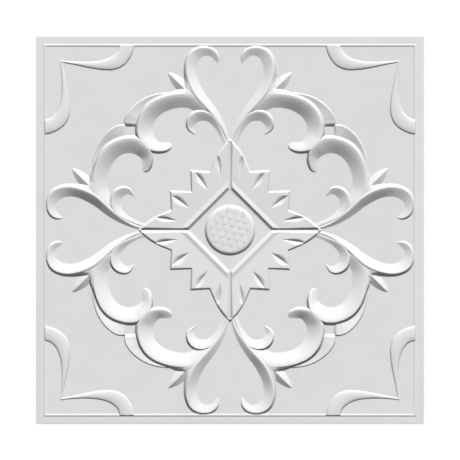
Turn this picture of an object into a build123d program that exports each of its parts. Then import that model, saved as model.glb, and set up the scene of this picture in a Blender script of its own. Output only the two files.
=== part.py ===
# Square relief wall panel, cast in one piece: a flat-backed slab with a frame bead, corner horns,
# scrolling branches and a pointed rosette with a round button. The front face looks along +Z.

import os

from build123d import *

# Slab and frame, in millimetres
panel_side = 500.0
base_thickness = 12.0  # back face to the flat field
edge_chamfer = 0.3
border_width = 11.4  # panel edge to the middle of the frame bead
bead_width = 4.2
bead_crown = 2.2  # flat on top of the bead
bead_height = 1.1

# Height of each form above the field
scroll_height = 5.6
arch_height = 8.0
curl_height = 4.2
leaf_height = 4.3
thorn_height = 3.7
horn_height = 2.6
rosette_height = 2.7
rim_height = 3.0
pit_floor = 0.2
button_height = 3.9

# Plan sizes of the forms that have one of their own
thorn_length = 27.0
thorn_half_width = 8.3
button_radius = 32.2
button_face_radius = 26.5
button_fullness = 0.7  # share of the rounded rim's width and height at its middle
pit_reach = 54.4  # centre to a corner of the pit floor
rim_reach = 59.4  # centre to a corner of the rim's crest
rim_foot = 66.0  # centre to a corner of the rim's outer foot
groove_half_width = 3.6
groove_floor_half_width = 0.5
groove_end = 114.0  # centre to the end of a petal's groove
groove_floor = 0.3  # height of the groove's floor above the field
vein_depth = 2.2
rosette_bevel = 1.2  # along the rosette's outline

# How far a form is rooted below the field, and how far a cut runs past it
root_depth = base_thickness / 4
overrun = 2.0

# A strand's outer wall passes a shoulder at this share of its width and at one of these shares of its height
shoulder_out = 0.6
bulging_shoulder = 0.62
straight_shoulder = 1 - shoulder_out

# A horn's edges are bevelled over this share of its width, up to this share of its height
horn_bevel = 0.13
horn_bevel_height = 0.82

# The ornament is drawn for a bead line at this distance from the centre, and fitted to the panel's own
drawn_bead_line = 239.0
bead_line = panel_side / 2 - border_width
fit = bead_line / drawn_bead_line
slab_half = panel_side / 2

field = Plane.XY.offset(base_thickness)
diagonal = Plane(origin=(0, 0, 0), z_dir=(1, -1, 0))

# Stations of each strand: crest point, foot of the inner slope, width of the outer wall, share of the height
scroll_stations = [
    ((1.8, 107.9), (-1.5, 109), 1.4, 0.10),
    ((5.4, 121.8), (2.4, 123.2), 1.8, 0.22),
    ((12.0, 135.2), (7.6, 138), 2.5, 0.38),
    ((20.0, 146.4), (14.2, 151), 3.8, 0.55),
    ((29.9, 157.6), (22.8, 164), 4.8, 0.75),
    ((38.4, 166.7), (30.2, 173.4), 5.8, 0.92),
    ((45.3, 175.2), (35.6, 182.3), 6.7, 1.00),
    ((50.4, 185.3), (39.4, 189.8), 7.2, 0.97),
    ((54.3, 196.8), (42.8, 199.6), 5.0, 0.87),
    ((56.1, 209.0), (43.5, 209), 3.6, 0.76),
    ((54.6, 220.2), (41.4, 217), 3.1, 0.67),
    ((49.7, 229.6), (38.9, 221.3), 2.7, 0.60),
    ((41.4, 234.8), (36.5, 223.7), 2.2, 0.53),
    ((32.0, 236.1), (31.2, 225.7), 1.5, 0.46),
    ((23.3, 233.6), (27, 225.4), 2.2, 0.42),
    ((17.4, 228.1), (23.4, 223.4), 2.1, 0.36),
    ((15.5, 222.2), (20, 219.8), 1.8, 0.22),
    ((15.8, 217.0), (17.2, 216.8), 0.8, 0.07),
]
arch_stations = [
    ((33.0, 161.0), (37, 156), 2.0, 0.43),
    ((39.5, 167.2), (47, 156), 4.0, 0.63),
    ((47.4, 173.0), (55.2, 158), 5.7, 0.69),
    ((56.9, 176.2), (60.4, 158.4), 6.7, 0.73),
    ((67.0, 176.5), (66.6, 158.1), 5.0, 0.78),
    ((78.2, 174.9), (73.8, 156.8), 4.0, 0.86),
    ((90.3, 170.7), (82.4, 153.8), 3.4, 0.95),
    ((102.4, 164.2), (90.4, 148.7), 3.4, 1.00),
    ((111.6, 154.4), (95.7, 143.1), 3.4, 0.97),
    ((117.1, 142.2), (98.7, 137), 3.5, 0.89),
    ((119.0, 130.0), (99.6, 130), 3.5, 0.84),
    ((117.3, 119.3), (98.9, 125), 3.5, 0.86),
    ((112.4, 110.2), (97.4, 121), 3.4, 0.91),
    ((104.9, 103.7), (94.8, 117), 2.7, 0.88),
    ((96.0, 102.2), (91.8, 114.4), 2.6, 0.71),
    ((88.0, 102.1), (88, 113.7), 2.5, 0.55),
    ((81.4, 103.9), (84.4, 113.8), 2.1, 0.37),
    ((77.0, 107.0), (80.8, 113.8), 1.6, 0.20),
    ((75.4, 110.0), (77.4, 113.2), 0.8, 0.08),
]
curl_stations = [
    ((3.2, 108.1), (8, 106), 1.4, 0.20),
    ((8.4, 121.2), (12.3, 119.4), 1.8, 0.26),
    ((12.4, 131.2), (17.2, 128.8), 2.1, 0.43),
    ((17.1, 141.2), (23.8, 136.8), 2.1, 0.69),
    ((22.7, 147.7), (29.2, 140.6), 2.1, 0.80),
    ((29.8, 152.2), (34.2, 141.6), 2.1, 0.90),
    ((38.4, 153.6), (38.2, 141.2), 1.8, 0.98),
    ((46.2, 151.4), (40.9, 140.3), 2.3, 1.00),
    ((51.8, 146.4), (43.2, 138.5), 2.4, 0.98),
    ((54.8, 139.7), (45, 136.4), 1.9, 0.84),
    ((55.1, 134.4), (46.2, 133.6), 1.5, 0.64),
    ((53.3, 130.0), (46.3, 130.4), 1.2, 0.46),
    ((49.2, 126.6), (45.4, 127.6), 0.8, 0.29),
    ((44.6, 123.9), (44.2, 124.9), 0.3, 0.10),
]
leaf_stations = [
    ((78, 177.4), (75, 166), 1.5, 0.55),
    ((90.2, 176.3), (85, 161), 1.5, 0.90),
    ((102.8, 173.2), (94, 156), 1.5, 1.0),
    ((115.4, 167.1), (103, 151), 1.5, 1.0),
    ((125.6, 158.9), (109, 147), 1.5, 1.0),
    ((132.7, 149.8), (112, 142), 1.5, 1.0),
    ((135.5, 142.1), (113, 138), 1.5, 1.0),
    ((135.6, 135.2), (113, 135.4), 1.5, 1.0),
]
# Stations of a corner horn: its two edges and the share of the height
horn_stations = [
    ((124, 239), (142.3, 239), 0.95),
    ((125.6, 231.6), (145, 231.4), 1.0),
    ((130, 222), (150.6, 225.6), 1.0),
    ((138, 212.8), (158.6, 221.2), 1.0),
    ((150, 207.8), (169, 218.4), 0.95),
    ((164, 207.6), (180, 217.2), 0.82),
    ((180, 209.8), (191, 217), 0.66),
    ((198, 213.6), (203, 217.5), 0.48),
    ((212, 216.4), (213, 218.4), 0.34),
    ((218.6, 217.8), (218.6, 219.2), 0.28),
]

# The rosette's outline from a petal's tip to the diagonal, and the lines of its veins
petal_tip = (0, 117.5)
petal_side = (14, 102)
petal_waist = (27, 75)
spike_tip = (50, 77)
notch = (49.5, 49.5)
leaf_vein = ((24.5, 47), (44.6, 74), 5.6, ((0.02, 0.06), (0.35, 0.7), (0.65, 1.0), (0.85, 0.75), (0.98, 0.1)))
petal_vein = ((10.6, 60), (19.6, 102), 5.2, ((0.02, 0.06), (0.5, 0.75), (1.0, 1.0)))


def plan(point):
    """A drawn point at the panel's own size."""
    return Vector(point[0] * fit, point[1] * fit, 0)


def section_plane(start, toward):
    """An upright plane through start, with its x axis toward the second point and z = 0 on the field."""
    across = toward - start
    return Plane(
        origin=(start.X, start.Y, base_thickness), x_dir=across, z_dir=across.cross(Vector(0, 0, 1))
    )


def strand(stations, height, shoulder):
    """A branch with a straight inner slope, a crest and a steep outer wall, lofted through its stations."""
    with BuildPart() as body:
        for crest, foot, outer, share in stations:
            crest_point, foot_point = plan(crest), plan(foot)
            inner = (foot_point - crest_point).length
            wall = outer * fit
            rise = height * share
            with BuildSketch(section_plane(crest_point, foot_point)):
                with BuildLine():
                    Polyline((-wall, 0), (-wall, -root_depth), (inner, -root_depth), (inner, 0))
                    Line((inner, 0), (0, rise))
                    Spline((0, rise), (-wall * shoulder_out, rise * shoulder), (-wall, 0))
                make_face()
        loft()
    return body.part


def horn():
    """A corner horn: a low pillow with bevelled edges, lofted from the frame to its point."""
    with BuildPart() as body:
        for outer_edge, inner_edge, share in horn_stations:
            start, end = plan(outer_edge), plan(inner_edge)
            width = (end - start).length
            rise = horn_height * share
            bevel = width * horn_bevel
            eaves = rise * horn_bevel_height
            with BuildSketch(section_plane(start, end)):
                with BuildLine():
                    Polyline((bevel, eaves), (0, 0), (0, -root_depth))
                    Line((0, -root_depth), (width, -root_depth))
                    Polyline((width, -root_depth), (width, 0), (width - bevel, eaves))
                    ThreePointArc((width - bevel, eaves), (width / 2, rise), (bevel, eaves))
                make_face()
        loft()
    return body.part


def thorn():
    """A pointed leaf with a straight ridge that leaves the fork of a branch at 45 degrees."""
    root = plan((61, 185))
    along = Vector(1, 1, 0).normalized()
    across = Vector(-1, 1, 0).normalized()
    with BuildPart() as body:
        for share in (-0.3, 0.1, 0.4, 0.65, 0.84, 0.96):
            taper = (1 - share * share) ** 0.75
            half = thorn_half_width * fit * taper
            rise = thorn_height * taper
            centre = root + along * (thorn_length * fit * share)
            with BuildSketch(section_plane(centre, centre + across)):
                Polygon((half, -root_depth), (half, 0), (0, rise), (-half, 0), (-half, -root_depth), align=None)
        loft()
    return body.part


def vein(start, end, half_width, swell):
    """A V-shaped groove along a line; swell gives its share of width and depth at shares of its length."""
    start_point, end_point = plan(start), plan(end)
    along = end_point - start_point
    across = Vector(-along.Y, along.X, 0).normalized()
    with BuildPart() as cutter:
        for share, size in swell:
            centre = start_point + along * share
            half = half_width * fit * size
            depth = vein_depth * size
            spread = half * (depth + overrun) / depth
            with BuildSketch(section_plane(centre, centre + across)):
                with Locations((0, rosette_height)):
                    Polygon((-spread, overrun), (0, -depth), (spread, overrun), align=None)
        loft(ruled=True)
    return cutter.part


def diamond(reach):
    """A square on its corner, with this distance from the centre to a corner."""
    side = reach * fit * 2**0.5
    return Rectangle(side, side, rotation=45)


# Frame bead, along the edge that faces +Y
with BuildPart() as bead:
    with BuildSketch(Plane.YZ):
        with Locations((bead_line, base_thickness)):
            Polygon(
                (-bead_width / 2, -root_depth),
                (-bead_width / 2, 0),
                (-bead_crown / 2, bead_height),
                (bead_crown / 2, bead_height),
                (bead_width / 2, 0),
                (bead_width / 2, -root_depth),
                align=None,
            )
    extrude(amount=slab_half)

# One eighth of the panel, between the Y axis and the diagonal
with BuildPart() as eighth:
    with BuildSketch():
        Polygon((0, 0), (slab_half, slab_half), (0, slab_half), align=None)
    extrude(amount=base_thickness)
    chamfer(eighth.edges().group_by(Axis.Z)[-1].sort_by(Axis.Y)[-1], edge_chamfer)
    add(bead.part)
    add(strand(scroll_stations, scroll_height, straight_shoulder))
    add(strand(arch_stations, arch_height, bulging_shoulder))
    add(strand(curl_stations, curl_height, straight_shoulder))
    add(strand(leaf_stations, leaf_height, straight_shoulder))
    add(thorn())
    add(horn())
    with BuildSketch():
        Polygon((0, 0), (slab_half, slab_half), (0, slab_half), align=None)
    extrude(amount=base_thickness + arch_height + overrun, mode=Mode.INTERSECT)

# Rosette: four petals and eight spikes around a square pit with a raised rim
with BuildPart() as veins:
    add(vein(*leaf_vein))
    add(vein(*petal_vein))
    mirror(about=diagonal)
    mirror(about=Plane.XZ)
    mirror(about=Plane.YZ)

with BuildPart() as rosette:
    with BuildSketch(field.offset(-root_depth)):
        with BuildLine():
            ThreePointArc(plan(petal_tip), plan(petal_side), plan(petal_waist))
            Polyline(plan(petal_waist), plan(spike_tip), plan(notch))
            mirror(about=diagonal)
            mirror(about=Plane.YZ)
            mirror(about=Plane.XZ)
        make_face()
    extrude(amount=root_depth + rosette_height)
    chamfer(rosette.faces().sort_by(Axis.Z)[-1].edges(), rosette_bevel)
    with BuildSketch(field.offset(rosette_height)):
        diamond(rim_foot)
    with BuildSketch(field.offset(rim_height)):
        diamond(rim_reach)
    loft()
    with BuildSketch(field.offset(pit_floor)):
        diamond(pit_reach)
    with BuildSketch(field.offset(rim_height)):
        diamond(rim_reach)
    loft(mode=Mode.SUBTRACT)
    flare = (groove_half_width - groove_floor_half_width) / (rosette_height - groove_floor)
    groove_top = groove_half_width + flare * overrun
    for upright in (Plane.XZ, Plane.YZ):
        with BuildSketch(upright):
            with Locations((0, base_thickness)):
                Polygon(
                    (-groove_top * fit, rosette_height + overrun),
                    (-groove_floor_half_width * fit, groove_floor),
                    (groove_floor_half_width * fit, groove_floor),
                    (groove_top * fit, rosette_height + overrun),
                    align=None,
                )
        extrude(amount=groove_end * fit, both=True, mode=Mode.SUBTRACT)
    add(veins.part, mode=Mode.SUBTRACT)

# Round button in the middle of the pit, with a broad rounded rim
button_edge = button_radius * fit
button_face = button_face_radius * fit
rim_middle = button_face + (button_edge - button_face) * button_fullness
with BuildPart() as button:
    with BuildSketch(section_plane(Vector(0, 0, 0), Vector(1, 0, 0))):
        with BuildLine():
            Polyline((0, button_height), (0, -root_depth), (button_edge, -root_depth), (button_edge, 0))
            ThreePointArc(
                (button_edge, 0), (rim_middle, button_height * button_fullness), (button_face, button_height)
            )
            Line((button_face, button_height), (0, button_height))
        make_face()
    revolve(axis=Axis.Z)

# The whole panel
with BuildPart() as panel:
    add(eighth.part)
    mirror(about=diagonal)
    mirror(about=Plane.XZ)
    mirror(about=Plane.YZ)
    add(rosette.part)
    add(button.part)

panel.part.label = "wall_panel"
os.makedirs("parts", exist_ok=True)
export_step(panel.part, "parts/wall_panel.step")
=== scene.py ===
import math

import bmesh
import bpy
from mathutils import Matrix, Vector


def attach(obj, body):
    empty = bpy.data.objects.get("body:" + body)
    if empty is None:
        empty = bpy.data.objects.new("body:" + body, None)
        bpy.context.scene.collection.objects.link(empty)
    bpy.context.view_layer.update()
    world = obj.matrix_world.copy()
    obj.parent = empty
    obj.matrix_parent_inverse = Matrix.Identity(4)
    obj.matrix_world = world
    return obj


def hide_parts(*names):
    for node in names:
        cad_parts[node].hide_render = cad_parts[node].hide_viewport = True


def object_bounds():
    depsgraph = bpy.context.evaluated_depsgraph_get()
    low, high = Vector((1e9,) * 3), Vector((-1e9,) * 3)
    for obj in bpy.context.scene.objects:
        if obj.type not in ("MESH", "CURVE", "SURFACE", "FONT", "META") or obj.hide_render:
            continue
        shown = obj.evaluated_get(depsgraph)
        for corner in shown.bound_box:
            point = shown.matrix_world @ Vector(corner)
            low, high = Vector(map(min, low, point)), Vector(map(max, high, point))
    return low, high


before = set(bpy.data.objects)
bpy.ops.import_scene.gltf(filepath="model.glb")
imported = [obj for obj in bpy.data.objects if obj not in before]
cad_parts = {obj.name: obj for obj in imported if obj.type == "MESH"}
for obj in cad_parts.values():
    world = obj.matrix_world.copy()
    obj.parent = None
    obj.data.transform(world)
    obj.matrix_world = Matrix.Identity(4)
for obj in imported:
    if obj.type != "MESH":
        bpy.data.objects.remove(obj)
cadLow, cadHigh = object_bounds()
mm = 0.001  # a millimetre in metres
near = 0.1 * mm  # how close a vertex lies to the level that it is picked by
panelHalf = cadHigh.x / mm
print("frame loaded, panel", round(panelHalf * 2), "mm square")


def pick(*pieces):
    if bpy.context.object and bpy.context.object.mode != "OBJECT":
        bpy.ops.object.mode_set(mode="OBJECT")
    bpy.ops.object.select_all(action="DESELECT")
    for piece in pieces:
        piece.select_set(True)
        bpy.context.view_layer.objects.active = piece


def nameIt(name):
    piece = bpy.context.object
    piece.name = name
    piece.data.name = name
    return piece


def settle(piece):  # place, turn and size go into the mesh
    pick(piece)
    bpy.ops.object.transform_apply(location=True, rotation=True, scale=True)
    return piece


def finishWith(piece, kind, **settings):
    pick(piece)
    modifier = piece.modifiers.new(kind.lower(), kind)
    for key, value in settings.items():
        setattr(modifier, key, value)
    bpy.ops.object.modifier_apply(modifier=modifier.name)
    return piece


def joinAs(name, pieces):
    pick(*pieces)
    bpy.ops.object.join()
    return nameIt(name)


def editVerts(piece, wanted):  # edit mode, with only the wanted vertices selected
    pick(piece)
    bpy.ops.object.mode_set(mode="EDIT")
    bpy.ops.mesh.select_mode(type="VERT")
    work = bmesh.from_edit_mesh(piece.data)
    for vert in work.verts:
        vert.select = wanted(vert)
    work.select_flush_mode()
    bmesh.update_edit_mesh(piece.data)


def objectMode():
    bpy.ops.object.mode_set(mode="OBJECT")


def drawOut(rise):  # extrudes what is selected straight up, or down
    bpy.ops.mesh.extrude_region_move(TRANSFORM_OT_translate={"value": (0, 0, rise * mm)})


def spread(factor):  # widens what is selected about the middle of the panel
    bpy.ops.transform.resize(value=(factor, factor, 1), center_override=(0, 0, 0))


def turnOutwards(piece):
    editVerts(piece, lambda vert: True)
    bpy.ops.mesh.normals_make_consistent(inside=False)
    objectMode()


# the slab, in millimetres as all the sizes below
slab = {"field": 12.0, "root": 4.0, "spare": 6.0, "chamfer": 0.3}
rails = {"steps": 8, "fit": 238.6 / 239.0}  # points between stations, and ornament to panel


def drawRails(name, lines):
    bpy.ops.object.select_all(action="DESELECT")
    bpy.ops.curve.primitive_bezier_curve_add(location=(0, 0, 0))
    drawn = nameIt(name)
    drawn.data.dimensions = "3D"
    for place, line in enumerate(lines):
        spline = drawn.data.splines[0] if place == 0 else drawn.data.splines.new("BEZIER")
        spline.resolution_u = rails["steps"]
        spline.bezier_points.add(len(line) - len(spline.bezier_points))
        for knot, (x, y, z) in zip(spline.bezier_points, line):
            knot.co = (x * rails["fit"] * mm, y * rails["fit"] * mm, (slab["field"] + z) * mm)
        for knot in spline.bezier_points:
            knot.handle_left_type = "AUTO"
            knot.handle_right_type = "AUTO"
    bpy.ops.object.convert(target="MESH")
    return bpy.context.object


def bridgeRails(name, lines):  # each rail is bridged to the next, and the last to the first
    shell = drawRails(name, lines)
    count = len(shell.data.vertices) // len(lines)
    for place in range(len(lines)):
        pair = (place, (place + 1) % len(lines))
        editVerts(shell, lambda vert: vert.index // count in pair)
        bpy.ops.mesh.bridge_edge_loops()
        objectMode()
    for end in (0, count - 1):
        editVerts(shell, lambda vert: vert.index % count == end)
        bpy.ops.mesh.edge_face_add()
        objectMode()
    turnOutwards(shell)
    return shell


def loft(name, sections):  # the rails run through the matching points of the sections
    return bridgeRails(name, list(zip(*sections)))


def branch(name, spec):
    sections = []
    for crest, foot, wall, share in spec["stations"]:
        rise = spec["height"] * share
        outX, outY = crest[0] - foot[0], crest[1] - foot[1]
        reach = math.hypot(outX, outY)
        outX, outY = outX / reach, outY / reach
        profile = [(0, None), (0, 0)] + [(reach * out, up) for out, up in spec["brows"]]
        profile += [(reach, 1), (reach + wall * spec["shoulderOut"], spec["shoulderUp"])]
        profile += [(reach + wall, 0), (reach + wall, None)]
        section = []
        for along, up in profile:
            z = -slab["root"] if up is None else rise * up
            section.append((foot[0] + outX * along, foot[1] + outY * along, z))
        sections.append(section)
    return loft(name, sections)


# each station: crest, foot of the inner slope, width of the outer wall, share of the height
scroll = {
    "height": 6.3, "brows": [(0.7, 0.77), (0.88, 0.94)], "shoulderOut": 0.6, "shoulderUp": 0.6,
    "stations": [
        ((1.8, 107.9), (-1.5, 109), 1.4, 0.10),
        ((5.4, 121.8), (2.4, 123.2), 1.8, 0.22),
        ((12.0, 135.2), (7.6, 138), 2.5, 0.38),
        ((20.0, 146.4), (14.2, 151), 3.8, 0.55),
        ((29.9, 157.6), (22.8, 164), 4.8, 0.75),
        ((38.4, 166.7), (30.2, 173.4), 5.8, 0.92),
        ((45.3, 175.2), (35.6, 182.3), 6.7, 1.00),
        ((50.4, 185.3), (39.4, 189.8), 7.2, 0.97),
        ((54.3, 196.8), (42.8, 199.6), 5.0, 0.87),
        ((56.1, 209.0), (43.5, 209), 3.6, 0.76),
        ((54.6, 220.2), (41.4, 217), 3.1, 0.67),
        ((49.7, 229.6), (38.9, 221.3), 2.7, 0.60),
        ((41.4, 234.8), (36.5, 223.7), 2.2, 0.53),
        ((32.0, 236.1), (31.2, 225.7), 1.5, 0.46),
        ((23.3, 233.6), (27, 225.4), 2.2, 0.42),
        ((17.4, 228.1), (23.4, 223.4), 2.1, 0.36),
        ((15.5, 222.2), (20, 219.8), 1.8, 0.22),
        ((15.8, 217.0), (17.2, 216.8), 0.8, 0.07),
    ],
}
arch = {
    "height": 7.75, "brows": [(0.5, 0.61), (0.75, 0.87), (0.89, 0.965)],
    "shoulderOut": 0.6, "shoulderUp": 0.66,
    "stations": [
        ((28.0, 155.4), (37.5, 146.5), 1.5, 0.45),
        ((33.0, 161.0), (41, 150.5), 2.0, 0.60),
        ((39.5, 167.2), (47.5, 154.6), 4.0, 0.66),
        ((47.4, 173.0), (55.2, 158), 5.7, 0.69),
        ((57.0, 175.8), (60.4, 158.4), 7.2, 0.73),
        ((67.0, 175.9), (66.6, 158.1), 6.0, 0.78),
        ((78.1, 174.4), (73.8, 156.8), 3.2, 0.86),
        ((90.3, 170.7), (82.4, 153.8), 2.8, 0.95),
        ((102.4, 164.2), (90.4, 148.7), 3.0, 1.00),
        ((111.6, 154.4), (95.7, 143.1), 3.4, 0.97),
        ((117.1, 142.2), (98.7, 137), 3.5, 0.89),
        ((119.0, 130.0), (99.6, 130), 3.5, 0.84),
        ((117.3, 119.3), (98.9, 125), 3.5, 0.86),
        ((111.4, 111.4), (97.4, 121), 3.4, 0.91),
        ((104.4, 104.4), (94.8, 117), 2.7, 0.88),
        ((96.0, 102.2), (91.8, 114.4), 2.6, 0.71),
        ((88.0, 102.1), (88, 113.7), 2.5, 0.55),
        ((81.4, 103.9), (84.4, 113.8), 2.1, 0.37),
        ((77.0, 107.0), (80.8, 113.8), 1.6, 0.20),
        ((75.4, 110.0), (77.4, 113.2), 0.8, 0.08),
    ],
}
curl = {
    "height": 4.3, "brows": [(0.7, 0.77), (0.88, 0.94)], "shoulderOut": 0.6, "shoulderUp": 0.6,
    "stations": [
        ((3.2, 108.1), (8, 106), 1.4, 0.20),
        ((8.4, 121.2), (12.3, 119.4), 1.8, 0.26),
        ((12.4, 131.2), (17.2, 128.8), 2.1, 0.43),
        ((17.1, 141.2), (23.8, 136.8), 2.1, 0.69),
        ((22.7, 147.7), (29.2, 140.6), 2.1, 0.80),
        ((29.8, 152.2), (34.2, 141.6), 2.1, 0.90),
        ((38.4, 153.6), (38.2, 141.2), 1.8, 0.98),
        ((46.2, 151.4), (40.9, 140.3), 2.3, 1.00),
        ((51.8, 146.4), (43.2, 138.5), 2.4, 0.98),
        ((54.8, 139.7), (45, 136.4), 1.9, 0.84),
        ((55.1, 134.4), (46.2, 133.6), 1.5, 0.64),
        ((53.3, 130.0), (46.3, 130.4), 1.2, 0.46),
        ((49.2, 126.6), (45.4, 127.6), 0.8, 0.29),
        ((44.6, 123.9), (44.2, 124.9), 0.3, 0.10),
    ],
}
# each station of the leaf behind the arch: outer edge and its height, inner edge and its height
backLeaf = {
    "wall": 0.6, "shoulderOut": 0.5, "shoulderUp": 0.6,
    "stations": [
        ((78, 177.4), 0.9, (75, 166), -1.8),
        ((90.2, 176.3), 1.2, (85, 161), -2.2),
        ((102.8, 173.2), 1.6, (94, 156), -2.8),
        ((115.4, 167.1), 2.6, (103, 151), -2.2),
        ((125.6, 158.9), 3.8, (109, 147), -0.9),
        ((132.7, 149.8), 4.2, (112, 142), 0.4),
        ((135.4, 142.6), 3.5, (113, 139), 0.8),
        ((135.5, 137.4), 2.7, (113, 137.2), 1.0),
        ((135.5, 134.2), 0.1, (113, 134.2), 0.1),
    ],
}


def leaf(spec):
    sections = []
    for outer, outerUp, inner, innerUp in spec["stations"]:
        outX, outY = outer[0] - inner[0], outer[1] - inner[1]
        reach = math.hypot(outX, outY)
        outX, outY = outX / reach, outY / reach
        profile = [(0, -slab["root"]), (0, innerUp), (reach, outerUp)]
        profile += [(reach + spec["wall"] * spec["shoulderOut"], outerUp * spec["shoulderUp"])]
        profile += [(reach + spec["wall"], 0), (reach + spec["wall"], -slab["root"])]
        sections.append([(inner[0] + outX * along, inner[1] + outY * along, z) for along, z in profile])
    return loft("backLeaf", sections)


branches = [
    branch("scroll", scroll), branch("arch", arch), branch("curl", curl), leaf(backLeaf),
]
print("branches bridged")

# each station of a corner horn: its two edges and its share of the height
horn = {
    "height": 2.7, "profile": [(0, 0), (0.02, 0.62), (0.14, 0.84), (0.32, 0.96), (0.5, 1)],
    "stations": [
        ((124, 239), (142.3, 239), 0.95),
        ((125.6, 231.6), (145, 231.4), 1.0),
        ((130, 222), (150.6, 225.6), 1.0),
        ((138, 212.8), (158.6, 221.2), 1.0),
        ((150, 207.8), (169, 218.4), 0.95),
        ((164, 207.6), (180, 217.2), 0.82),
        ((180, 209.8), (191, 217), 0.66),
        ((198, 213.6), (203, 217.5), 0.48),
        ((212, 216.4), (213, 218.4), 0.34),
        ((218.6, 217.8), (218.6, 219.2), 0.28),
    ],
}


def cornerHorn(spec):
    side = spec["profile"]
    profile = [(0, None)] + side + [(1 - step, lift) for step, lift in side[-2::-1]] + [(1, None)]
    sections = []
    for outer, inner, share in spec["stations"]:
        section = []
        for step, lift in profile:
            x = outer[0] + (inner[0] - outer[0]) * step
            y = outer[1] + (inner[1] - outer[1]) * step
            section.append((x, y, -slab["root"] if lift is None else spec["height"] * share * lift))
        sections.append(section)
    return loft("horn", sections)


# ridges along a line: centre, half width and height at each station
thorn = {
    "slant": 45,
    "stations": [
        ((54, 178), 8.1, 3.6),
        ((62.9, 186.9), 8.2, 3.75),
        ((68.6, 192.6), 7.2, 3.3),
        ((73.4, 197.4), 5.4, 2.5),
        ((77.0, 201.0), 3.2, 1.5),
        ((79.3, 203.3), 1.2, 0.6),
    ],
}
# the saddle between scroll and arch: three lines from the fork out to the crotch
web = {
    "left": [
        (38.4, 166.7, 5.1), (45.3, 175.2, 5.5), (50.8, 184.5, 5.5),
        (54.0, 190.5, 4.8), (57.2, 195.0, 2.4), (59.4, 197.5, 0),
    ],
    "mid": [
        (38.9, 167.0, 5.1), (46.4, 174.1, 5.3), (53.6, 180.7, 4.9),
        (56.2, 182.5, 4.2), (58.4, 184.2, 2.4), (61, 185.8, 0),
    ],
    "right": [
        (39.5, 167.2, 5.1), (47.4, 173.0, 5.4), (56.9, 176.4, 5.6),
        (61.5, 178.0, 5.0), (65.0, 180.4, 2.8), (67, 183.2, 0),
    ],
}


def ridge(name, spec):
    sections = []
    slant = math.radians(spec["slant"])
    sideX, sideY = -math.sin(slant), math.cos(slant)
    for (x, y), half, rise in spec["stations"]:
        profile = ((-half, -slab["root"]), (-half, 0), (0, rise), (half, 0), (half, -slab["root"]))
        sections.append([(x + sideX * off, y + sideY * off, lift) for off, lift in profile])
    return loft(name, sections)


def saddle(spec):
    under = [[(x, y, -slab["root"]) for x, y, z in spec[side]] for side in ("right", "left")]
    return bridgeRails("web", [spec["left"], spec["mid"], spec["right"]] + under)


quarter = joinAs("ornament", branches + [cornerHorn(horn), ridge("thorn", thorn), saddle(web)])
print("horn, thorn and web bridged")


def foldOver(piece):  # adds the mirror image about the diagonal
    bpy.ops.object.empty_add(location=(0, 0, 0), rotation=(0, 0, math.radians(45)))
    diagonal = bpy.context.object
    finishWith(piece, "MIRROR", use_axis=(False, True, False), mirror_object=diagonal,
               use_mirror_merge=False)
    bpy.data.objects.remove(diagonal)
    return piece


foldOver(quarter)
print("one quarter of the ornament")

bead = {"line": 238.6, "width": 3.3, "crown": 2.0, "height": 0.62}


def boxBetween(name, low, high):
    bpy.ops.object.select_all(action="DESELECT")
    bpy.ops.mesh.primitive_cube_add(size=1, location=[(a + b) / 2 * mm for a, b in zip(low, high)])
    bpy.context.object.scale = [(b - a) * mm for a, b in zip(low, high)]
    return settle(nameIt(name))


def frameBead(spec):
    half, crown = spec["width"] / 2, spec["crown"] / 2
    bar = boxBetween("bead", (-slab["spare"], spec["line"] - half, slab["field"] - slab["root"]),
                     (spec["line"] + half, spec["line"] + half, slab["field"] + spec["height"]))
    editVerts(bar, lambda vert: vert.co.z > slab["field"] * mm)
    bpy.ops.transform.resize(value=(1, crown / half, 1), center_override=(0, spec["line"] * mm, 0))
    objectMode()
    editVerts(bar, lambda vert: vert.co.z > slab["field"] * mm and vert.co.x > 0)
    bpy.ops.transform.translate(value=((crown - half) * mm, 0, 0))
    objectMode()
    return foldOver(bar)


reach = panelHalf + slab["spare"]
base = boxBetween("base", (-slab["spare"], -slab["spare"], 0), (reach, reach, slab["field"]))
bars = frameBead(bead)
print("slab and bead")

rosette = {
    "height": 3.0, "bevel": 1.0, "above": 1.0, "weld": 0.02, "topSize": 0.993, "footSize": 1.036,
    "outline": [
        ((0, 117.5), "VECTOR"), ((9.2, 107.6), "AUTO"), ((16.8, 96), "AUTO"),
        ((26, 75.4), "VECTOR"), ((50.6, 76.8), "VECTOR"), ((49.4, 49.4), "VECTOR"),
    ],
    "dishReach": 66.0, "dishFloor": 1.8, "dishFar": 120.0, "dishTop": 3.2,
    "rimReach": 58.9, "rimHeight": 2.9, "rimSink": 0.3,
    "pit": [(51.8, 0.1), (54.2, 0.5), (57.6, 2.5), (58.9, 2.9)],
    "grooveTop": 3.6, "grooveFloor": 0.5, "grooveLow": 0.15, "grooveEnd": 114.5,
}
# each vein: its line, and at shares of it the share of its half width and depth
veins = [
    {
        "inner": (25.5, 47.8), "outer": (45.0, 75.2),
        "halfWidth": 6.2, "depth": 2.8, "bend": 0.5, "bendUp": 0.66,
        "swell": [(0.0, 0.05), (0.3, 0.6), (0.55, 1.0), (0.75, 0.9), (0.9, 0.45), (1.0, 0.05)],
    },
    {
        "inner": (10.8, 59.0), "outer": (16.4, 97.0),
        "halfWidth": 5.2, "depth": 2.7, "bend": 0.5, "bendUp": 0.66,
        "swell": [(0.0, 0.05), (0.35, 0.6), (0.68, 1.0), (0.87, 0.75), (1.0, 0.08)],
    },
]


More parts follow.
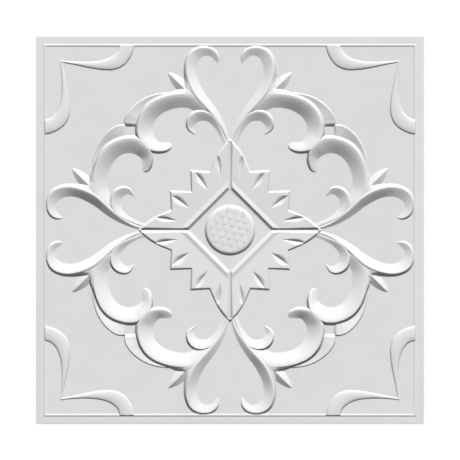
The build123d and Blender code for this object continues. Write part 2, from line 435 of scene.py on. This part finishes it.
def rosettePlate(spec):
    side = spec["outline"]
    # from the upper tip to the right one
    corner = side + [((y, x), kind) for (x, y), kind in side[-2::-1]]
    loop = []
    for turn in range(4):
        c, s = math.cos(-math.pi / 2 * turn), math.sin(-math.pi / 2 * turn)
        loop += [((x * c - y * s, x * s + y * c), kind) for (x, y), kind in corner[:-1]]
    bpy.ops.object.select_all(action="DESELECT")
    bpy.ops.curve.primitive_bezier_circle_add(location=(0, 0, 0))
    plate = nameIt("rosette")
    plate.data.dimensions = "3D"
    spline = plate.data.splines[0]
    spline.bezier_points.add(len(loop) - len(spline.bezier_points))
    for knot, ((x, y), kind) in zip(spline.bezier_points, loop):
        knot.co = (x * rails["fit"] * mm, y * rails["fit"] * mm, (slab["field"] + spec["height"]) * mm)
    for knot, (point, kind) in zip(spline.bezier_points, loop):
        knot.handle_left_type = kind
        knot.handle_right_type = kind
    bpy.ops.object.convert(target="MESH")
    plate = bpy.context.object
    editVerts(plate, lambda vert: True)
    bpy.ops.mesh.remove_doubles(threshold=spec["weld"] * mm)
    bpy.ops.mesh.edge_face_add()
    spread(spec["topSize"])
    drawOut(-spec["height"] - slab["root"])
    spread(spec["footSize"])
    objectMode()
    turnOutwards(plate)
    editVerts(plate, lambda vert: vert.co.z > slab["field"] * mm)
    bpy.ops.mesh.bevel(offset=spec["bevel"] * mm, segments=1, affect="EDGES")
    objectMode()
    return plate


def diamond(name, lowReach, lowZ, highReach, highZ):  # a stub with its corners on the middle lines
    bpy.ops.object.select_all(action="DESELECT")
    bpy.ops.mesh.primitive_cone_add(
        vertices=4, radius1=lowReach * mm, radius2=highReach * mm, depth=(highZ - lowZ) * mm,
        location=(0, 0, (slab["field"] + (lowZ + highZ) / 2) * mm))
    return settle(nameIt(name))


def pitTool(steps, above):  # a four-sided bowl, drawn up and out ring by ring
    last, lastZ = steps[0]
    bpy.ops.object.select_all(action="DESELECT")
    bpy.ops.mesh.primitive_circle_add(vertices=4, radius=last * mm, fill_type="NGON",
                                      location=(0, 0, (slab["field"] + lastZ) * mm))
    bowl = settle(nameIt("pit"))
    (beforeReach, beforeZ), (rimReach, rimZ) = steps[-2:]
    lip = (rimReach + (rimReach - beforeReach) / (rimZ - beforeZ) * above, rimZ + above)
    editVerts(bowl, lambda vert: True)
    for ring, z in steps[1:] + [lip]:
        drawOut(z - lastZ)
        spread(ring / last)
        last, lastZ = ring, z
    objectMode()
    turnOutwards(bowl)
    return bowl


def veinCutter(spec, top, above):  # a boat with its keel along the vein
    (x0, y0), (x1, y1) = spec["inner"], spec["outer"]
    length = math.hypot(x1 - x0, y1 - y0)
    sideX, sideY = (y0 - y1) / length, (x1 - x0) / length
    sections = []
    for share, size in spec["swell"]:
        x, y = x0 + (x1 - x0) * share, y0 + (y1 - y0) * share
        deep, half = spec["depth"] * size, spec["halfWidth"] * size
        bend, bendZ = half * spec["bend"], top - deep * (1 - spec["bendUp"])
        rim, rimZ = half + (half - bend) / (top - bendZ) * above, top + above
        profile = ((rim, rimZ), (bend, bendZ), (0, top - deep), (-bend, bendZ), (-rim, rimZ))
        sections.append([(x + sideX * off, y + sideY * off, z) for off, z in profile])
    return loft("veinCutter", sections)


def carve(piece, tool, operation):
    finishWith(piece, "BOOLEAN", operation=operation, object=tool, solver="EXACT", use_self=True)
    bpy.data.objects.remove(tool)


def carveRosette(spec):
    plate = rosettePlate(spec)
    above = spec["above"]
    dish = diamond("dish", spec["dishReach"], spec["dishFloor"], spec["dishFar"], spec["dishTop"])
    carve(plate, dish, "DIFFERENCE")
    lean = (spec["dishReach"] - spec["rimReach"]) / (spec["rimHeight"] - spec["dishFloor"])
    rim = diamond("rim", spec["dishReach"] + lean * spec["rimSink"], spec["dishFloor"] - spec["rimSink"],
                  spec["rimReach"], spec["rimHeight"])
    carve(plate, rim, "UNION")
    carve(plate, pitTool(spec["pit"], above), "DIFFERENCE")
    slope = (spec["grooveTop"] - spec["grooveFloor"]) / (spec["height"] - spec["grooveLow"])
    wide = spec["grooveTop"] + slope * above
    lowZ = (slab["field"] + spec["grooveLow"]) * mm
    for turn in (0, 90):
        groove = boxBetween("groove", (-wide, -spec["grooveEnd"], slab["field"] + spec["grooveLow"]),
                            (wide, spec["grooveEnd"], slab["field"] + spec["height"] + above))
        editVerts(groove, lambda vert: vert.co.z < lowZ + near)
        bpy.ops.transform.resize(value=(spec["grooveFloor"] / wide, 1, 1), center_override=(0, 0, 0))
        objectMode()
        groove.rotation_euler.z = math.radians(turn)
        carve(plate, settle(groove), "DIFFERENCE")
    cut = foldOver(joinAs("veins", [veinCutter(vein, spec["height"], above) for vein in veins]))
    finishWith(cut, "MIRROR", use_axis=(True, True, False), use_mirror_merge=False)
    carve(plate, cut, "DIFFERENCE")
    return plate


plate = carveRosette(rosette)
print("rosette carved")

button = {"radius": 32.1, "face": 27.1, "height": 3.9, "steps": 8, "sides": 128}


def roundButton(spec):
    low, high = slab["field"] - slab["root"], slab["field"]
    bpy.ops.object.select_all(action="DESELECT")
    bpy.ops.mesh.primitive_cylinder_add(
        vertices=spec["sides"], radius=spec["radius"] * mm, depth=(high - low) * mm,
        location=(0, 0, (low + high) / 2 * mm))
    piece = settle(nameIt("button"))
    editVerts(piece, lambda vert: vert.co.z > high * mm - near)
    last, lastLift = spec["radius"], 0
    for step in range(1, spec["steps"] + 1):  # the top is drawn up and in along a quarter ellipse
        angle = math.pi / 2 * step / spec["steps"]
        ring = spec["face"] + (spec["radius"] - spec["face"]) * math.cos(angle)
        lift = spec["height"] * math.sin(angle)
        drawOut(lift - lastLift)
        spread(ring / last)
        last, lastLift = ring, lift
    objectMode()
    return piece


disc = roundButton(button)
print("button turned")

# cast in one skin: a quarter is remeshed, softened and thinned, and the rest mirrored from it
cast = {
    "voxel": 0.5, "smoothing": 0.4, "soften": 2, "triangles": 47000, "spare": 1.0,
    "gather": 0.15, "flat": 0.001, "weld": 0.05, "crease": 50,
}

panel = joinAs("reliefPanel", [base, quarter, plate, disc, bars])


def trim(piece, point, normal):  # keeps what lies behind the plane
    editVerts(piece, lambda vert: True)
    bpy.ops.mesh.bisect(plane_co=[c * mm for c in point], plane_no=normal, clear_outer=True)
    objectMode()


finishWith(panel, "REMESH", mode="VOXEL", voxel_size=cast["voxel"] * mm, use_smooth_shade=True)
print("cast in one skin,", len(panel.data.polygons), "faces")
edge = panelHalf - slab["chamfer"]
margin = slab["spare"] - cast["spare"]
trim(panel, (0, 0, slab["field"] - cast["spare"]), (0, 0, -1))
trim(panel, (-margin, 0, 0), (-1, 0, 0))
trim(panel, (0, -margin, 0), (0, -1, 0))
finishWith(panel, "SMOOTH", factor=cast["smoothing"], iterations=cast["soften"])
trim(panel, (0, 0, 0), (-1, 0, 0))
trim(panel, (0, 0, 0), (0, -1, 0))
trim(panel, (edge, 0, 0), (1, 0, 0))
trim(panel, (0, edge, 0), (0, 1, 0))
print("one quarter softened,", len(panel.data.polygons), "faces")
finishWith(panel, "TRIANGULATE")
finishWith(panel, "DECIMATE", ratio=cast["triangles"] / len(panel.data.polygons))
for flat in ((0, 1, 1), (1, 0, 1)):  # the cut edges go exactly onto the middle lines and the rim
    axis = flat.index(0)
    for line in (0, edge):
        editVerts(panel, lambda vert: abs(vert.co[axis] - line * mm) < cast["gather"] * mm)
        bpy.ops.transform.resize(value=flat, center_override=(line * mm, line * mm, 0))
        objectMode()
        editVerts(panel, lambda vert: abs(vert.co[axis] - line * mm) < cast["flat"] * mm)
        bpy.ops.mesh.delete(type="ONLY_FACE")  # slivers that now lie flat in the cut
        bpy.ops.mesh.select_all(action="SELECT")
        bpy.ops.mesh.delete_loose()
        objectMode()
finishWith(panel, "MIRROR", use_axis=(True, True, False), use_mirror_merge=True,
           merge_threshold=cast["weld"] * mm)
print("four quarters,", len(panel.data.polygons), "faces")

# chamfered rim, sides and flat back
editVerts(panel, lambda vert: max(abs(vert.co.x), abs(vert.co.y)) > edge * mm - near)
drawOut(-slab["chamfer"])
spread(panelHalf / edge)
drawOut(slab["chamfer"] - slab["field"])
bpy.ops.mesh.edge_face_add()
objectMode()
turnOutwards(panel)
print("sides and back closed,", len(panel.data.polygons), "faces")

# little beads stand in slanting rows on the button's face
beads = {
    "across": 4.6, "height": 0.3, "trail": 2.5, "sides": 16, "rings": 8,
    "first": (3.0, 6.4), "step": (9.99, -2.58), "row": (-7.07, -6.78), "rows": 7, "within": 26.6,
}


def buttonBeads(spec):
    spots = []
    count = range(-spec["rows"], spec["rows"] + 1)
    for step in count:
        for row in count:
            x = spec["first"][0] + spec["step"][0] * step + spec["row"][0] * row
            y = spec["first"][1] + spec["step"][1] * step + spec["row"][1] * row
            if math.hypot(x, y) < spec["within"]:
                spots.append((x, y))
    face = slab["field"] + button["height"]
    firstX, firstY = spots[0]
    bpy.ops.object.select_all(action="DESELECT")
    bpy.ops.mesh.primitive_uv_sphere_add(
        segments=spec["sides"], ring_count=spec["rings"], radius=spec["across"] / 2 * mm,
        location=(firstX * mm, firstY * mm, face * mm))
    first = settle(nameIt("bead"))
    editVerts(first, lambda vert: True)
    flat = spec["height"] / (spec["across"] / 2)
    bpy.ops.transform.resize(value=(1, 1, flat), center_override=(0, 0, face * mm))
    objectMode()
    # the upper side trails off like a scale
    editVerts(first, lambda vert: vert.co.y > firstY * mm + near)
    bpy.ops.transform.resize(value=(1, spec["trail"], 1), center_override=(0, firstY * mm, 0))
    objectMode()
    made = [first]
    for x, y in spots[1:]:
        pick(first)
        shift = ((x - firstX) * mm, (y - firstY) * mm, 0)
        bpy.ops.object.duplicate_move(
            OBJECT_OT_duplicate={"linked": False}, TRANSFORM_OT_translate={"value": shift})
        made.append(settle(bpy.context.object))
    print(len(made), "beads on the button")
    return joinAs("beads", made)


panel = joinAs("reliefPanel", [buttonBeads(beads), panel])
print("beads on,", len(panel.data.polygons), "faces")

# white plaster: a faint cloud of tone, matt with slight changes of sheen, and a fine dry grain
plaster = {
    "pale": (0.812, 0.812, 0.808, 1), "paleFrom": 0.7, "deep": (0.784, 0.783, 0.777, 1), "deepTo": 0.3,
    "cloud": 38.0, "cloudDetail": 4, "sheen": 120.0, "sheenDetail": 3, "matt": 0.88, "smooth": 0.76,
    "grain": 2600.0, "grainDetail": 2, "grainDepth": 0.00004, "grainStrength": 0.12, "specular": 0.3,
}


def plasterFinish(spec):
    material = bpy.data.materials.new("castPlaster")
    material.use_nodes = True
    nodes, links = material.node_tree.nodes, material.node_tree.links
    shader = nodes["Principled BSDF"]
    place = nodes.new("ShaderNodeTexCoord")

    def noise(kind):
        pattern = nodes.new("ShaderNodeTexNoise")
        pattern.inputs["Scale"].default_value = spec[kind]
        pattern.inputs["Detail"].default_value = spec[kind + "Detail"]
        links.new(place.outputs["Object"], pattern.inputs["Vector"])
        return pattern.outputs["Fac"]

    tone = nodes.new("ShaderNodeValToRGB")
    low, high = tone.color_ramp.elements
    low.position, low.color = spec["deepTo"], spec["deep"]
    high.position, high.color = spec["paleFrom"], spec["pale"]
    links.new(noise("cloud"), tone.inputs["Fac"])
    links.new(tone.outputs["Color"], shader.inputs["Base Color"])
    sheen = nodes.new("ShaderNodeMapRange")
    sheen.inputs["To Min"].default_value = spec["smooth"]
    sheen.inputs["To Max"].default_value = spec["matt"]
    links.new(noise("sheen"), sheen.inputs["Value"])
    links.new(sheen.outputs["Result"], shader.inputs["Roughness"])
    grain = nodes.new("ShaderNodeBump")
    grain.inputs["Strength"].default_value = spec["grainStrength"]
    grain.inputs["Distance"].default_value = spec["grainDepth"]
    links.new(noise("grain"), grain.inputs["Height"])
    links.new(grain.outputs["Normal"], shader.inputs["Normal"])
    shader.inputs["Specular IOR Level"].default_value = spec["specular"]
    return material


panel.data.materials.clear()
panel.data.materials.append(plasterFinish(plaster))
pick(panel)
bpy.ops.object.shade_smooth_by_angle(angle=math.radians(cast["crease"]))
finishWith(panel, "WEIGHTED_NORMAL", keep_sharp=True)
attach(panel, "root")
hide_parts("wall_panel")
print("plaster on")

# lamps and floor in metres, degrees and watts
floorLook = {"size": 6.0, "drop": 0.0002, "tone": 0.88, "matt": 0.9, "specular": 0.1, "glow": 0.265}
studio = {
    "sun": 4.46, "sunPlace": (0, 2, 2), "sunHeight": 30, "sunAside": 11, "sunSoftness": 12,
    "box": 2.4, "boxHeight": 2.2, "boxPower": 6.0, "fill": 0.08,
}
shot = {"lens": 200.0, "sensor": 36.0, "frameWidth": 593.6, "raise": 0.3, "clip": 20}


def whenSeen(nodes, links):  # 1 for what the camera, a reflection or a clear piece looks at
    path = nodes.new("ShaderNodeLightPath")
    either = nodes.new("ShaderNodeMath")
    either.operation = "MAXIMUM"
    seen = nodes.new("ShaderNodeMath")
    seen.operation = "MAXIMUM"
    links.new(path.outputs["Is Camera Ray"], either.inputs[0])
    links.new(path.outputs["Is Glossy Ray"], either.inputs[1])
    links.new(either.outputs[0], seen.inputs[0])
    links.new(path.outputs["Is Transmission Ray"], seen.inputs[1])
    return seen.outputs[0]


def paleFloor(spec):
    bpy.ops.object.select_all(action="DESELECT")
    bpy.ops.mesh.primitive_plane_add(size=spec["size"], location=(0, 0, -spec["drop"]))
    floor = nameIt("floor")
    material = bpy.data.materials.new("paleFloor")
    material.use_nodes = True
    nodes, links = material.node_tree.nodes, material.node_tree.links
    matte = nodes["Principled BSDF"]
    matte.inputs["Base Color"].default_value = (spec["tone"], spec["tone"], spec["tone"], 1)
    matte.inputs["Roughness"].default_value = spec["matt"]
    matte.inputs["Specular IOR Level"].default_value = spec["specular"]
    glow = nodes.new("ShaderNodeMath")
    glow.operation = "MULTIPLY"
    glow.inputs[1].default_value = spec["glow"]
    links.new(whenSeen(nodes, links), glow.inputs[0])
    matte.inputs["Emission Color"].default_value = (1, 1, 1, 1)
    links.new(glow.outputs[0], matte.inputs["Emission Strength"])
    floor.data.materials.append(material)


def lights(spec):
    bpy.ops.object.light_add(type="SUN", location=spec["sunPlace"])
    sun = nameIt("windowLight")
    sun.rotation_euler = (-math.radians(90 - spec["sunHeight"]), 0, -math.radians(spec["sunAside"]))
    sun.data.energy = spec["sun"]
    sun.data.angle = math.radians(spec["sunSoftness"])
    sun.data.use_shadow = False
    bpy.ops.object.light_add(type="AREA", location=(0, 0, spec["boxHeight"]))  # gives the soft shadow
    box = nameIt("softBox")
    box.data.size = spec["box"]
    box.data.energy = spec["boxPower"]
    world = bpy.data.worlds.new("studio")
    bpy.context.scene.world = world
    world.use_nodes = True
    nodes, links = world.node_tree.nodes, world.node_tree.links
    back = nodes["Background"]
    back.inputs["Color"].default_value = (1, 1, 1, 1)
    level = nodes.new("ShaderNodeMapRange")  # white where it is seen, and a little fill on the panel
    level.inputs["To Min"].default_value = spec["fill"]
    links.new(whenSeen(nodes, links), level.inputs["Value"])
    links.new(level.outputs["Result"], back.inputs["Strength"])


def camera(spec):
    away = spec["frameWidth"] * mm * spec["lens"] / spec["sensor"]
    place = (0, spec["raise"] * mm, away + slab["field"] * mm)
    bpy.ops.object.camera_add(location=place, rotation=(0, 0, 0))
    lens = nameIt("camera")
    lens.data.lens = spec["lens"]
    lens.data.sensor_width = spec["sensor"]
    lens.data.clip_end = spec["clip"]
    bpy.context.scene.camera = lens


paleFloor(floorLook)
lights(studio)
camera(shot)
bpy.context.scene.view_settings.view_transform = "Standard"
bpy.context.scene.cycles.diffuse_bounces = 0
print("floor, light and camera set")
